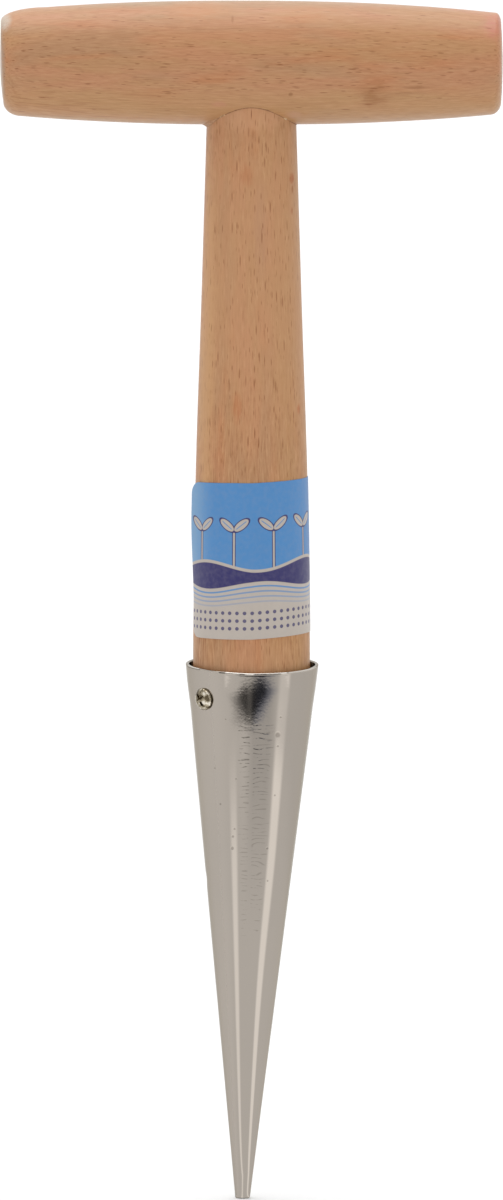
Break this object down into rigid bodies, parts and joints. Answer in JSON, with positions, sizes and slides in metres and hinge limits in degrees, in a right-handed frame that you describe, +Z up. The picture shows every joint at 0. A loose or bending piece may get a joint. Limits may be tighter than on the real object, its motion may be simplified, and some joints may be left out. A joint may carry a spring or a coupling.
{
  "type": "dibber",
  "caption": "T-handled garden dibber: barrel-turned cross grip, tapered beech shaft and a hollow steel point screwed over its nose, for pressing planting holes into soil.",
  "frame": {"origin": "on the shaft's axis, at the level of the tip of the steel point, under the middle of the cross handle", "axes": "+Z up along the shaft, from the tip to the handle; +X along the cross handle, to the right as seen from the front; -Y to the front, where the label and the screw are"},
  "size_m": [0.1168, 0.0306, 0.28],
  "materials": {
    "beech": "fine-sanded, sealed with a thin matt lacquer",
    "wood_glue": "dried wood glue",
    "nickel_plate": "nickel-plated sheet steel, with rolling marks",
    "screw_plate": "plated, slightly yellow",
    "label_paper": "printed gloss paper"
  },
  "bodies": {
    "root": {"cross_handle": "beech", "shaft": "beech", "tenon_glue": "wood_glue", "steel_cone": "nickel_plate", "cone_screw": "screw_plate", "label": "label_paper"}
  },
  "joints": []
}
